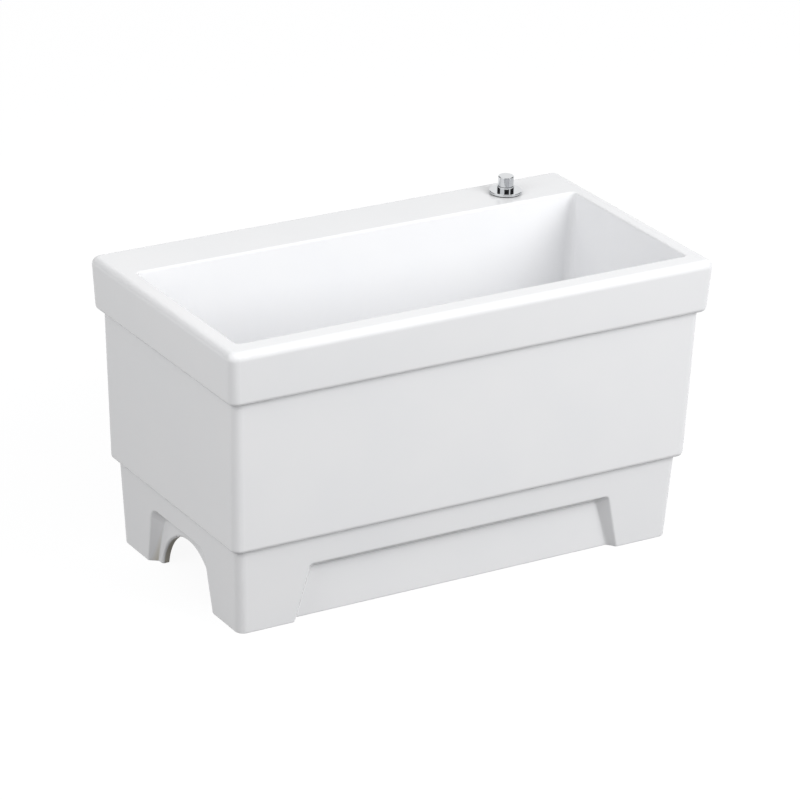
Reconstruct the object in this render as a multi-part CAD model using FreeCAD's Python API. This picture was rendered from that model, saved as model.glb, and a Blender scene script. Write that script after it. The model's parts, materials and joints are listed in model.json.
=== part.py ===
"""Floor-standing ceramic mop sink with a lift-knob pop-up waste.

The tub is one slip casting in three drafted tiers: rim band, body and footed base.
A chrome knob on the rear deck pulls a rod up, and a pivot rod under the floor lets the stopper fall.
Millimetres. X runs along the sink, -Y is the front, Z is up, and the origin is on the floor at the middle.
"""
import FreeCAD
import Part
import math
import os

from FreeCAD import Vector

# Tub, outside
sink_length = 690.0
sink_width = 374.0
sink_height = 385.0
rim_height = 70.0
base_height = 114.0
tier_corner_radius = 12.0
rim_edge_radius = 10.0
step_edge_radius = 7.0
tier_overlap = 20.0

# How far each tier stands in from the rim's top outline
rim_bottom_inset = 4.0
body_top_inset = 12.0
body_bottom_inset = 18.0
base_top_inset = 26.0
base_bottom_inset = 32.0

# Tub, inside
front_rim = 32.0
end_rim = 25.0
rear_deck = 82.0
basin_draft_deg = 2.5
mouth_edge_radius = 3.0
basin_top_corner = 6.0
basin_floor_corner = 20.0
floor_fillet = 16.0
floor_height = 136.0
floor_fall_deg = 1.2
floor_level_run = 60.0
floor_bend_radius = 600.0
floor_thickness = 14.0

# Hollow base, rear chase and rear opening
base_wall = 10.0
rear_wall = 12.0
deck_thickness = 14.0
chase_end_wall = 20.0
washer_room = 3.0
rear_return = 41.0
rear_opening_height = 310.0
rear_opening_corner = 40.0

# Recesses between the feet, and the pipe arch at each end
recess_depth = 11.0
recess_slope_run = 8.0
front_recess_width = 472.0
front_recess_height = 74.0
front_recess_lean = 21.0
front_recess_corner = 6.0
end_recess_width = 172.6
end_recess_height = 78.0
end_recess_lean = 20.0
end_recess_corner = 18.0
arch_margin = 10.0
recess_edge_radius = 3.8
foot_edge_radius = 2.0

# Lift knob on the deck
knob_from_end = 107.0
knob_behind_mouth = 37.0
lift_travel = 22.0
knob_diameter = 20.6
knob_height = 13.4
knob_edge_radius = 1.6
knob_bore_depth = 10.0
flange_diameter = 43.2
flange_thickness = 3.0
flange_edge_radius = 1.0
collar_diameter = 22.4
collar_height = 5.7
collar_top = 2.5
deck_gasket_thickness = 1.5
deck_gasket_margin = 1.5
deck_hole_diameter = 22.0
sleeve_diameter = 20.0
sleeve_below_deck = 29.0
deck_washer_diameter = 38.0
deck_washer_thickness = 2.0
deck_nut_across_flats = 32.0
deck_nut_height = 10.0

# Lift rod and clevis strap
rod_diameter = 6.0
rod_past_boss = 20.0
strap_width = 16.0
strap_thickness = 2.0
strap_offset = 7.0
strap_length = 106.0
strap_end_margin = 9.0
strap_hole_diameter = 7.5
strap_hole_pitch = 14.0
strap_hole_count = 5
strap_boss_diameter = 14.0
strap_boss_height = 20.0
strap_boss_drop = 2.0
thumb_screw_diameter = 4.0
thumb_screw_length = 14.0
thumb_head_diameter = 12.0
thumb_head_length = 5.0
thumb_knurl_count = 12
thumb_knurl_diameter = 1.6

# Pop-up waste through the basin floor
drain_behind_centre = 18.0
drain_hole_diameter = 52.0
seat_diameter = 76.0
seat_depth = 4.0
flange_seal_thickness = 1.5
flange_seal_diameter = 68.0
drain_flange_diameter = 72.0
drain_flange_thickness = 2.5
drain_tube_diameter = 48.0
drain_tube_wall = 2.5
drain_tube_length = 53.5
stopper_seat_diameter = 49.0
stopper_seat_depth = 4.0
under_gasket_thickness = 6.0
under_gasket_diameter = 66.0
under_gasket_lip = 4.0
under_washer_thickness = 1.5
under_washer_diameter = 68.0
locknut_height = 12.5
locknut_diameter = 62.0
locknut_lug_reach = 5.0
locknut_lug_width = 12.0
locknut_lug_count = 6

# Waste body, tail pipe and their nut
socket_wall = 4.4
socket_height = 22.0
socket_step = 4.0
waste_tube_diameter = 47.0
waste_tube_wall = 3.0
waste_tube_below_pivot = 30.0
slip_nut_diameter = 60.0
slip_nut_height = 16.5
slip_nut_lip = 2.0
slip_nut_rib_count = 12
slip_nut_rib_width = 5.0
slip_nut_rib_height = 1.5
tail_washer_thickness = 2.5
tail_diameter = 40.0
tail_wall = 2.0
tail_end_height = 12.0
tail_inside = 18.0
hose_bead_diameter = 43.0
hose_bead_height = 1.5
hose_bead_gap = 0.5

# Pivot rod, its ball and its gland
pivot_below_tube = 16.0
inner_arm = 32.0
pivot_rod_diameter = 5.0
pivot_rod_tip = 3.0
pivot_rod_past_strap = 9.0
ball_diameter = 15.0
port_diameter = 24.0
port_bore_diameter = 17.0
port_past_ball = 6.0
swing_hole_diameter = 10.0
ball_seat_thickness = 5.0
ball_seat_inset = 1.5
gland_across_flats = 30.0
gland_length = 12.0
gland_lip = 3.0
clip_thickness = 1.0
clip_leg_gap = 6.0
clip_leg_height = 14.0
clip_side_gap = 2.5

# Stopper
stopper_diameter = 46.0
stopper_edge_thickness = 2.0
stopper_dome_height = 4.5
stopper_button_gap = 0.3
seal_ring_section = 3.6
seal_ring_diameter = 42.0
stem_diameter = 9.0
stem_groove_margin = 0.2
stem_plate_diameter = 36.0
stem_plate_thickness = 2.0
fin_diameter = 41.0
fin_thickness = 2.0
fin_height = 34.0
fin_count = 4

# Clearances
running_clearance = 0.05
thread_clearance = 0.1
free_gap = 0.3
cut_past = 1.0

# Places worked out from the sizes above
half_length = sink_length / 2
front_recess_half = front_recess_width / 2
end_recess_half = end_recess_width / 2
half_width = sink_width / 2
rim_bottom = sink_height - rim_height
deck_underside = sink_height - deck_thickness
floor_underside = floor_height - floor_thickness
basin_rear = half_width - rear_deck
knob_x = half_length - knob_from_end
knob_y = basin_rear + knob_behind_mouth
drain_y = drain_behind_centre
ball_y = drain_y + inner_arm
strap_y = knob_y - strap_offset
outer_arm = strap_y - ball_y
rest_tilt = math.degrees(math.atan(lift_travel / 2 / outer_arm))
drain_tube_end = floor_height - seat_depth + flange_seal_thickness - drain_tube_length
pivot_height = drain_tube_end - pivot_below_tube
waste_tube_end = pivot_height - waste_tube_below_pivot
strap_pin_height = pivot_height - lift_travel / 2
strap_low = strap_pin_height - strap_end_margin
strap_top = strap_low + strap_length
boss_low = strap_top - strap_boss_drop - strap_boss_height
stopper_drop = lift_travel * inner_arm / outer_arm
base_lean = base_bottom_inset - base_top_inset


def rod(radius, start, end):
    """Round bar between two points."""
    axis = end - start
    return Part.makeCylinder(radius, axis.Length, start, axis)


def ring(outer, inner, start, end):
    """Tube between two points, from its two diameters."""
    reach = (end - start).normalize() * cut_past
    return rod(outer / 2, start, end).cut(rod(inner / 2, start - reach, end + reach))


def turned(outline, x, y):
    """Solid of revolution about a vertical axis, from (radius, height) points."""
    points = [Vector(x + radius, y, height) for radius, height in outline]
    face = Part.Face(Part.makePolygon(points + points[:1]))
    return face.revolve(Vector(x, y, 0), Vector(0, 0, 1), 360)


def upright(x, y, low, high):
    """Two points on a vertical axis."""
    return Vector(x, y, low), Vector(x, y, high)


def hexagon(across_flats, start, end):
    """Six-sided bar between two points."""
    axis = end - start
    radius = across_flats / math.sqrt(3)
    side = Vector(1, 0, 0) if abs(axis.x) < 0.5 * axis.Length else Vector(0, 1, 0)
    other = Vector(axis).normalize().cross(side)
    points = [
        start + side * (radius * math.cos(math.radians(60 * corner)))
        + other * (radius * math.sin(math.radians(60 * corner)))
        for corner in range(7)
    ]
    return Part.Face(Part.makePolygon(points)).extrude(axis)


def round_edges(shape, radius, belongs, above=-math.inf):
    """Fillet the edges whose ends and middle pass a test, and whose middle is over a level."""
    edges = []
    for edge in shape.Edges:
        middle = edge.valueAt((edge.FirstParameter + edge.LastParameter) / 2)
        points = [vertex.Point for vertex in edge.Vertexes] + [middle]
        if middle.z > above and all(belongs(point) for point in points):
            edges.append(edge)
    return shape.makeFillet(radius, edges)


def at_height(height):
    """Test for points on one level."""
    return lambda point: abs(point.z - height) < 1e-4


def rounded_rectangle(left, right, front, rear, height, radius):
    """Closed outline of four lines and four quarter circles."""
    diagonal = radius * (1 - math.sqrt(0.5))
    corners = [(right, rear, -1, -1), (left, rear, 1, -1), (left, front, 1, 1), (right, front, -1, 1)]
    arcs = []
    for number, (x, y, in_x, in_y) in enumerate(corners):
        on_side = Vector(x, y + in_y * radius, height)
        on_end = Vector(x + in_x * radius, y, height)
        middle = Vector(x + in_x * diagonal, y + in_y * diagonal, height)
        ends = (on_side, on_end) if number % 2 == 0 else (on_end, on_side)
        arcs.append(Part.Arc(ends[0], middle, ends[1]).toShape())
    edges = []
    for arc, following in zip(arcs, arcs[1:] + arcs[:1]):
        edges.append(arc)
        edges.append(Part.makeLine(arc.Vertexes[-1].Point, following.Vertexes[0].Point))
    return Part.Wire(edges)


def inset_outline(inset, height, radius):
    """Outline that stands in from the rim's top outline by the same distance all round."""
    return rounded_rectangle(
        inset - half_length, half_length - inset, inset - half_width, half_width - inset, height, radius
    )


def tier(low, low_inset, high, high_inset, overlap):
    """One drafted tier, carried up inside the tier above it."""
    draft = (low_inset - high_inset) / (high - low)
    return Part.makeLoft(
        [
            inset_outline(low_inset, low, tier_corner_radius),
            inset_outline(high_inset - draft * overlap, high + overlap, tier_corner_radius),
        ],
        True,
        True,
    )


def tub_outside():
    """Rim band, body and base, each with its own rounded edges."""
    rim = tier(rim_bottom, rim_bottom_inset, sink_height, 0.0, 0.0)
    rim = round_edges(rim, rim_edge_radius, at_height(sink_height))
    rim = round_edges(rim, step_edge_radius, at_height(rim_bottom))
    body = tier(base_height, body_bottom_inset, rim_bottom, body_top_inset, tier_overlap)
    body = round_edges(body, step_edge_radius, at_height(base_height))
    return rim.fuse([body, footed_base()])


def basin_outline(height, radius):
    """Inside outline of the basin at one level, drawn in by the mould draft."""
    draft = (sink_height - height) * math.tan(math.radians(basin_draft_deg))
    return rounded_rectangle(
        end_rim - half_length + draft,
        half_length - end_rim - draft,
        front_rim - half_width + draft,
        basin_rear - draft,
        height,
        radius,
    )


def above_floor():
    """Space over the basin floor: level round the drain, then rising gently to the far end."""
    rise = math.radians(floor_fall_deg)
    bend_x = knob_x - floor_level_run
    bend = floor_bend_radius * math.tan(rise / 2)
    far_x = -half_length
    far_height = floor_height + (bend_x - far_x) * math.tan(rise)
    middle_drop = floor_bend_radius * (1 - math.cos(rise / 2))
    level_end = Vector(bend_x + bend, 0, floor_height)
    bend_middle = level_end + Vector(-floor_bend_radius * math.sin(rise / 2), 0, middle_drop)
    rise_start = Vector(bend_x - bend * math.cos(rise), 0, floor_height + bend * math.sin(rise))
    near_end = Vector(half_length, 0, floor_height)
    far_end = Vector(far_x, 0, far_height)
    lid = sink_height + 2 * cut_past
    outline = Part.Wire(
        [
            Part.makeLine(near_end, level_end),
            Part.Arc(level_end, bend_middle, rise_start).toShape(),
            Part.makeLine(rise_start, far_end),
            Part.makeLine(far_end, Vector(far_x, 0, lid)),
            Part.makeLine(Vector(far_x, 0, lid), Vector(half_length, 0, lid)),
            Part.makeLine(Vector(half_length, 0, lid), near_end),
        ]
    )
    outline.translate(Vector(0, -half_width, 0))
    return Part.Face(outline).extrude(Vector(0, sink_width, 0))


def basin_space():
    """Water space of the basin, with the round where its floor meets its walls."""
    low = floor_underside
    walls = Part.makeLoft(
        [basin_outline(low, basin_floor_corner), basin_outline(sink_height + cut_past, basin_top_corner)],
        True,
        True,
    )
    space = walls.common(above_floor())
    highest_floor = floor_height + sink_length * math.tan(math.radians(floor_fall_deg))
    return round_edges(space, floor_fillet, lambda point: point.z < highest_floor)


def recess_outline(foot_edge, top, lean, corner, place):
    """Sloped opening between two feet, from its half width on the floor, mapped by a placing function."""
    below = -cut_past
    half_low = foot_edge + lean * cut_past / top
    half_top = foot_edge - lean
    side = Vector(half_low - half_top, below - top).normalize()
    bisector = Vector(side.x - 1, side.y).normalize()
    half_angle = math.acos(max(-1.0, min(1.0, -side.x))) / 2
    along = corner / math.tan(half_angle)
    middle = corner / math.sin(half_angle) - corner
    right = [
        (half_low, below),
        (half_top + side.x * along, top + side.y * along),
        (half_top + bisector.x * middle, top + bisector.y * middle),
        (half_top - along, top),
    ]
    low, start, bend, end = [place(u, v) for u, v in right]
    far_low, far_start, far_bend, far_end = [place(-u, v) for u, v in right]
    return Part.Wire(
        [
            Part.makeLine(low, start),
            Part.Arc(start, bend, end).toShape(),
            Part.makeLine(end, far_end),
            Part.Arc(far_end, far_bend, far_start).toShape(),
            Part.makeLine(far_start, far_low),
            Part.makeLine(far_low, low),
        ]
    )


def recess(foot_edge, top, lean, corner, place, grow):
    """Recess with sloped sides; grow gives the wall's inner face behind it."""
    slope = recess_slope_run / recess_depth
    sections = []
    for depth in (-base_lean - cut_past, recess_depth):
        narrower = depth * slope - grow
        section = recess_outline(
            foot_edge - narrower, top - narrower, lean, corner, lambda u, v: place(u, v, depth + grow)
        )
        sections.append(section)
    return Part.makeLoft(sections, True, True)


def front_place(u, v, depth):
    """Point of the front recess, at a depth behind the base's bottom front edge."""
    return Vector(u, base_bottom_inset - half_width + depth, v)


def left_place(u, v, depth):
    """Point of the left end's recess."""
    return Vector(base_bottom_inset - half_length + depth, u, v)


def right_place(u, v, depth):
    """Point of the right end's recess."""
    return Vector(half_length - base_bottom_inset - depth, u, v)


def base_recesses(grow):
    """The front recess and the two end recesses."""
    front = (front_recess_half, front_recess_height, front_recess_lean, front_recess_corner)
    end = (end_recess_half, end_recess_height, end_recess_lean, end_recess_corner)
    return [
        recess(*front, front_place, grow),
        recess(*end, left_place, grow),
        recess(*end, right_place, grow),
    ]


def pipe_arches():
    """Arched way for a waste pipe, through the base from end to end of the hollow."""
    half = end_recess_half - recess_slope_run - arch_margin
    crown_height = end_recess_height - recess_slope_run - arch_margin
    crown = Part.Arc(Vector(0, -half, 0), Vector(0, 0, crown_height), Vector(0, half, 0)).toShape()
    low = [Vector(0, half, -cut_past), Vector(0, -half, -cut_past)]
    outline = Part.Wire(
        [
            crown,
            Part.makeLine(Vector(0, half, 0), low[0]),
            Part.makeLine(low[0], low[1]),
            Part.makeLine(low[1], Vector(0, -half, 0)),
        ]
    )
    outline.translate(Vector(-half_length, 0, 0))
    return Part.Face(outline).extrude(Vector(sink_length, 0, 0))


def on_recess_edge(point):
    """Test for points on a recess's outline on the base's faces, or on its sunk panel."""
    from_front = point.y + half_width
    from_end = half_length - abs(point.x)
    face = base_bottom_inset - base_lean * point.z / base_height
    panel = base_bottom_inset + recess_depth
    corner = base_bottom_inset + tier_corner_radius + cut_past
    if point.z > base_height or from_end < corner and min(from_front, sink_width - from_front) < corner:
        return False
    return any(abs(place - depth) < 1e-3 for place in (from_front, from_end) for depth in (face, panel))


def footed_base():
    """Base tier with its recesses, pipe arches and rounded edges."""
    base = tier(0.0, base_bottom_inset, base_height, base_top_inset, tier_overlap)
    for cut in base_recesses(0.0) + [pipe_arches()]:
        base = base.cut(cut)
    base = round_edges(base, recess_edge_radius, on_recess_edge, cut_past)
    return round_edges(base, foot_edge_radius, at_height(0.0))


def base_hollow():
    """Space under the floor, kept one wall away from the recesses."""
    low = base_bottom_inset + base_wall
    high = base_top_inset + base_wall
    corner = tier_corner_radius
    hollow = Part.makeLoft(
        [inset_outline(low, -cut_past, corner), inset_outline(high, floor_underside, corner)], True, True
    )
    return hollow.cut(base_recesses(base_wall))


def rear_chase():
    """Space behind the basin's rear wall, under the deck, open to the base."""
    sections = []
    ends = half_length - body_bottom_inset - chase_end_wall
    low = floor_underside - 2 * cut_past
    low_rear = half_width - base_top_inset - base_wall - cut_past
    high_rear = knob_y + deck_washer_diameter / 2 + washer_room
    for height, rear in [(low, low_rear), (deck_underside, high_rear)]:
        draft = (sink_height - height) * math.tan(math.radians(basin_draft_deg))
        front = basin_rear - draft + rear_wall
        sections.append(rounded_rectangle(-ends, ends, front, rear, height, tier_corner_radius))
    return Part.makeLoft(sections, True, True)


def rear_opening():
    """Opening in the back that gives access to the rod and the waste."""
    half = half_length - base_bottom_inset - rear_return
    front = half_width - base_bottom_inset - base_wall - cut_past
    depth = half_width - front + cut_past
    block = Part.makeBox(2 * half, depth, rear_opening_height + cut_past, Vector(-half, front, -cut_past))
    edges = [
        edge
        for edge in block.Edges
        if all(abs(vertex.Point.z - rear_opening_height) < 1e-4 for vertex in edge.Vertexes)
        and abs(edge.Vertexes[0].Point.x - edge.Vertexes[1].Point.x) < 1e-4
    ]
    return block.makeFillet(rear_opening_corner, edges)


def ceramic_basin():
    """The whole casting."""
    tub = tub_outside().cut(basin_space())
    mouth_x = half_length - rim_edge_radius - cut_past
    mouth_y = half_width - rim_edge_radius - cut_past

    def on_mouth(point):
        return abs(point.z - sink_height) < 1e-4 and abs(point.x) < mouth_x and abs(point.y) < mouth_y

    tub = round_edges(tub, mouth_edge_radius, on_mouth)
    above_deck = sink_height + cut_past
    under_floor = floor_underside - cut_past
    above_drain = floor_height + cut_past
    deck_hole = rod(deck_hole_diameter / 2, *upright(knob_x, knob_y, deck_underside - cut_past, above_deck))
    drain_hole = rod(drain_hole_diameter / 2, *upright(knob_x, drain_y, under_floor, above_drain))
    seat = rod(seat_diameter / 2, *upright(knob_x, drain_y, floor_height - seat_depth, above_drain))
    for cut in [base_hollow(), rear_chase(), rear_opening(), deck_hole, drain_hole, seat]:
        tub = tub.cut(cut)
    return tub.removeSplitter()


def deck_parts():
    """Knob flange, its seal and sleeve, and the nut that clamps them to the deck."""
    gasket_top = sink_height + deck_gasket_thickness
    flange_top = gasket_top + flange_thickness
    collar_end = flange_top + collar_height
    bore_end = collar_end - collar_top
    sleeve_bore = rod_diameter + 2 * running_clearance
    sleeve_socket = sleeve_diameter + 2 * thread_clearance
    gasket_diameter = flange_diameter - 2 * deck_gasket_margin
    flange = rod(flange_diameter / 2, *upright(knob_x, knob_y, gasket_top, flange_top))
    flange = round_edges(flange, flange_edge_radius, at_height(flange_top))
    flange = flange.fuse(rod(collar_diameter / 2, *upright(knob_x, knob_y, gasket_top, collar_end)))
    flange = flange.cut(rod(sleeve_socket / 2, *upright(knob_x, knob_y, gasket_top - cut_past, bore_end)))
    rod_hole = rod_diameter / 2 + free_gap
    flange = flange.cut(rod(rod_hole, *upright(knob_x, knob_y, gasket_top, collar_end + cut_past)))
    washer_low = deck_underside - deck_washer_thickness
    nut_low = washer_low - deck_nut_height
    nut = hexagon(deck_nut_across_flats, *upright(knob_x, knob_y, nut_low, washer_low))
    nut_bore = rod(sleeve_socket / 2, *upright(knob_x, knob_y, nut_low - cut_past, washer_low + cut_past))
    sleeve_end = deck_underside - sleeve_below_deck
    sleeve = ring(sleeve_diameter, sleeve_bore, *upright(knob_x, knob_y, sleeve_end, bore_end))
    gasket = ring(gasket_diameter, deck_hole_diameter, *upright(knob_x, knob_y, sink_height, gasket_top))
    washer = ring(deck_washer_diameter, sleeve_socket, *upright(knob_x, knob_y, washer_low, deck_underside))
    return {
        "deck_flange": flange,
        "deck_gasket": gasket,
        "guide_sleeve": sleeve,
        "deck_washer": washer,
        "deck_nut": nut.cut(nut_bore),
    }


def lift_parts():
    """Knob, rod, clevis strap and thumb screw, which rise together."""
    knob_low = sink_height + deck_gasket_thickness + flange_thickness + collar_height + free_gap
    knob_top = knob_low + knob_height
    bore_top = knob_low + knob_bore_depth
    knob = rod(knob_diameter / 2, *upright(knob_x, knob_y, knob_low, knob_top))
    knob = round_edges(knob, knob_edge_radius, at_height(knob_top))
    bore_radius = rod_diameter / 2 + running_clearance
    bore = rod(bore_radius, *upright(knob_x, knob_y, knob_low - cut_past, bore_top))
    rod_ends = upright(knob_x, knob_y, boss_low - rod_past_boss, bore_top - running_clearance)
    return {
        "lift_knob": knob.cut(bore),
        "lift_rod": rod(rod_diameter / 2, *rod_ends),
        "clevis_strap": clevis_strap(),
        "clevis_screw": thumb_screw(),
    }


def clevis_strap():
    """Flat strap with a row of holes, and a boss round the lift rod."""
    front = strap_y - strap_thickness / 2
    strap = Part.makeBox(
        strap_width, strap_thickness, strap_length, Vector(knob_x - strap_width / 2, front, strap_low)
    )
    ends = [edge for edge in strap.Edges if abs(edge.Vertexes[0].Point.y - edge.Vertexes[1].Point.y) > 1e-4]
    strap = strap.makeFillet(strap_width / 2 - running_clearance, ends)
    boss = rod(strap_boss_diameter / 2, *upright(knob_x, knob_y, boss_low, boss_low + strap_boss_height))
    neck = Part.makeBox(
        strap_boss_diameter - strap_thickness,
        knob_y - strap_y,
        strap_boss_height,
        Vector(knob_x - (strap_boss_diameter - strap_thickness) / 2, strap_y, boss_low),
    )
    strap = strap.fuse([boss, neck])
    bore_radius = rod_diameter / 2 + running_clearance
    bore = rod(bore_radius, *upright(knob_x, knob_y, strap_low, strap_top + cut_past))
    holes = []
    for number in range(strap_hole_count):
        height = strap_pin_height + number * strap_hole_pitch
        reach = Vector(0, strap_thickness, 0)
        centre = Vector(knob_x, strap_y, height)
        holes.append(rod(strap_hole_diameter / 2, centre - reach, centre + reach))
    screw_start = Vector(knob_x, knob_y, boss_low + strap_boss_height / 2)
    screw_end = screw_start + Vector(0, strap_boss_diameter, 0)
    screw_hole = rod(thumb_screw_diameter / 2 + running_clearance, screw_start, screw_end)
    return strap.cut([bore, screw_hole] + holes)


def thumb_screw():
    """Knurled screw that clamps the strap to the rod from behind."""
    along = Vector(0, 1, 0)
    tip_y = knob_y + rod_diameter / 2 + running_clearance
    tip = Vector(knob_x, tip_y, boss_low + strap_boss_height / 2)
    head_start = tip + along * (thumb_screw_length - thumb_head_length)
    head_end = tip + along * thumb_screw_length
    screw = rod(thumb_screw_diameter / 2, tip, head_start)
    head = rod(thumb_head_diameter / 2, head_start, head_end)
    grooves = []
    for number in range(thumb_knurl_count):
        angle = 2 * math.pi * number / thumb_knurl_count
        edge = Vector(math.cos(angle), 0, math.sin(angle)) * (thumb_head_diameter / 2)
        past = along * cut_past
        grooves.append(rod(thumb_knurl_diameter / 2, head_start + edge - past, head_end + edge + past))
    return screw.fuse(head.cut(grooves))


def drain_parts():
    """Flanged drain through the basin floor, with its seals, washer and locknut."""
    x, y = knob_x, drain_y
    seat_height = floor_height - seat_depth
    flange_low = seat_height + flange_seal_thickness
    flange_top = flange_low + drain_flange_thickness
    tube = drain_tube_diameter / 2
    bore = tube - drain_tube_wall
    flange = turned(
        [
            (bore, drain_tube_end),
            (tube, drain_tube_end),
            (tube, flange_low),
            (drain_flange_diameter / 2, flange_low),
            (drain_flange_diameter / 2, flange_top - drain_flange_thickness / 2),
            (drain_flange_diameter / 2 - drain_flange_thickness / 2, flange_top),
            (stopper_seat_diameter / 2, flange_top),
            (bore, flange_top - stopper_seat_depth),
        ],
        x,
        y,
    )
    around = drain_tube_diameter + 2 * thread_clearance
    gasket_low = floor_underside - under_gasket_thickness
    washer_low = gasket_low - under_washer_thickness
    nut_low = washer_low - locknut_height
    lip = drain_hole_diameter / 2 - free_gap
    gasket = turned(
        [
            (around / 2, gasket_low),
            (under_gasket_diameter / 2, gasket_low),
            (under_gasket_diameter / 2, floor_underside),
            (lip, floor_underside),
            (lip - free_gap, floor_underside + under_gasket_lip),
            (around / 2, floor_underside + under_gasket_lip),
        ],
        x,
        y,
    )
    nut = rod(locknut_diameter / 2, *upright(x, y, nut_low, washer_low))
    lugs = []
    reach = locknut_diameter / 2 + locknut_lug_reach
    for number in range(locknut_lug_count):
        lug = Part.makeBox(
            reach, locknut_lug_width, locknut_height, Vector(x, y - locknut_lug_width / 2, nut_low)
        )
        lug.rotate(Vector(x, y, 0), Vector(0, 0, 1), 360 / locknut_lug_count * number)
        lugs.append(lug)
    nut_bore = rod(around / 2, *upright(x, y, nut_low - cut_past, washer_low + cut_past))
    seal_bore = (drain_hole_diameter + around) / 2
    return {
        "drain_flange": flange,
        "flange_seal": ring(flange_seal_diameter, seal_bore, *upright(x, y, seat_height, flange_low)),
        "under_gasket": gasket,
        "under_washer": ring(under_washer_diameter, around, *upright(x, y, washer_low, gasket_low)),
        "drain_locknut": nut.fuse(lugs).cut(nut_bore).removeSplitter(),
    }


def waste_body():
    """Socket, tube and side port in one moulding."""
    x, y = knob_x, drain_y
    socket_bore = drain_tube_diameter / 2 + thread_clearance
    socket = socket_bore + socket_wall
    tube = waste_tube_diameter / 2
    tube_bore = tube - waste_tube_wall
    shelf = drain_tube_end - thread_clearance
    socket_low = shelf - socket_step
    outside = turned(
        [
            (0, waste_tube_end),
            (tube, waste_tube_end),
            (tube, socket_low - socket_step),
            (socket, socket_low),
            (socket, socket_low + socket_height),
            (0, socket_low + socket_height),
        ],
        x,
        y,
    )
    ball = Vector(x, ball_y, pivot_height)
    along = Vector(0, 1, 0)
    port_end = ball + along * port_past_ball
    port = rod(port_diameter / 2, Vector(x, y, pivot_height), port_end)
    seat_start = ball - along * (ball_diameter / 2 + ball_seat_inset)
    port_bore = rod(port_bore_diameter / 2, seat_start, port_end + along * cut_past)
    rod_way = rod(swing_hole_diameter / 2, Vector(x, y, pivot_height), port_end)
    socket_way = rod(socket_bore, *upright(x, y, shelf, socket_low + socket_height + cut_past))
    tube_way = rod(tube_bore, *upright(x, y, waste_tube_end - cut_past, shelf + cut_past))
    return outside.fuse(port).cut([socket_way, tube_way, port_bore, rod_way]).removeSplitter()


def ball_seats():
    """Two seat rings that hold the ball in the port."""
    ball = Vector(knob_x, ball_y, pivot_height)
    along = Vector(0, 1, 0)
    hollow = Part.makeSphere(ball_diameter / 2 + running_clearance, ball)
    outer = port_bore_diameter - 2 * running_clearance
    start = ball - along * (ball_diameter / 2 + ball_seat_inset)
    inner_end = start + along * ball_seat_thickness
    end = ball + along * (port_past_ball + ball_seat_inset)
    outer_start = end - along * ball_seat_thickness
    spans = [(start, inner_end), (outer_start, end)]
    return Part.makeCompound([ring(outer, swing_hole_diameter, *span).cut(hollow) for span in spans])


def gland_nut():
    """Nut that closes the port on the ball, with a hole that lets the rod swing."""
    along = Vector(0, 1, 0)
    lip_start = Vector(knob_x, ball_y + port_past_ball + ball_seat_inset, pivot_height)
    end = lip_start + along * gland_lip
    start = end - along * gland_length
    nut = hexagon(gland_across_flats, start, end)
    thread = rod(port_diameter / 2 + thread_clearance, start - along * cut_past, lip_start)
    return nut.cut([thread, rod(swing_hole_diameter / 2, start, end + along * cut_past)])


def tail_parts():
    """Tail pipe, held in the waste body by a slip nut and its washer."""
    x, y = knob_x, drain_y
    washer_low = waste_tube_end - tail_washer_thickness
    nut_low = washer_low - slip_nut_lip
    nut_top = nut_low + slip_nut_height
    around_pipe = tail_diameter + 2 * thread_clearance
    around_tube = waste_tube_diameter + 2 * thread_clearance
    nut = rod(slip_nut_diameter / 2 - slip_nut_rib_height, *upright(x, y, nut_low, nut_top))
    ribs = []
    for number in range(slip_nut_rib_count):
        corner = Vector(x, y - slip_nut_rib_width / 2, nut_low)
        rib = Part.makeBox(slip_nut_diameter / 2, slip_nut_rib_width, slip_nut_height, corner)
        rib.rotate(Vector(x, y, 0), Vector(0, 0, 1), 360 / slip_nut_rib_count * number)
        ribs.append(rib)
    nut = nut.fuse(ribs)
    nut = nut.cut(rod(around_tube / 2, *upright(x, y, washer_low, nut_top + cut_past)))
    nut = nut.cut(rod(around_pipe / 2, *upright(x, y, nut_low - cut_past, nut_top)))
    washer = ring(waste_tube_diameter, around_pipe, *upright(x, y, washer_low, waste_tube_end))
    bead_top = nut_low - hose_bead_gap
    tail_top = waste_tube_end + tail_inside
    pipe = rod(tail_diameter / 2, *upright(x, y, tail_end_height, tail_top))
    pipe = pipe.fuse(rod(hose_bead_diameter / 2, *upright(x, y, bead_top - hose_bead_height, bead_top)))
    bore = tail_diameter / 2 - tail_wall
    pipe = pipe.cut(rod(bore, *upright(x, y, tail_end_height - cut_past, tail_top + cut_past)))
    return {"slip_nut": nut.removeSplitter(), "tail_washer": washer, "tail_pipe": pipe}


def tilted(shape):
    """Turn a piece of the pivot rod from level to its rest position, outer end down."""
    shape.rotate(Vector(knob_x, ball_y, pivot_height), Vector(1, 0, 0), -rest_tilt)
    return shape


def pivot_parts():
    """Pivot rod, its ball and the spring clip, which swing together."""
    ball = Vector(knob_x, ball_y, pivot_height)
    along = Vector(0, 1, 0)
    strap_reach = outer_arm / math.cos(math.radians(rest_tilt))
    tip = ball - along * (inner_arm + pivot_rod_tip)
    outer_end = ball + along * (strap_reach + pivot_rod_past_strap)
    bar = rod(pivot_rod_diameter / 2, tip, outer_end)
    ball_solid = Part.makeSphere(ball_diameter / 2, ball)
    hole = rod(pivot_rod_diameter / 2 + running_clearance, tip, outer_end)
    return {
        "pivot_rod": tilted(bar),
        "pivot_ball": tilted(ball_solid.cut(hole)),
        "spring_clip": tilted(spring_clip(ball + along * strap_reach)),
    }


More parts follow.
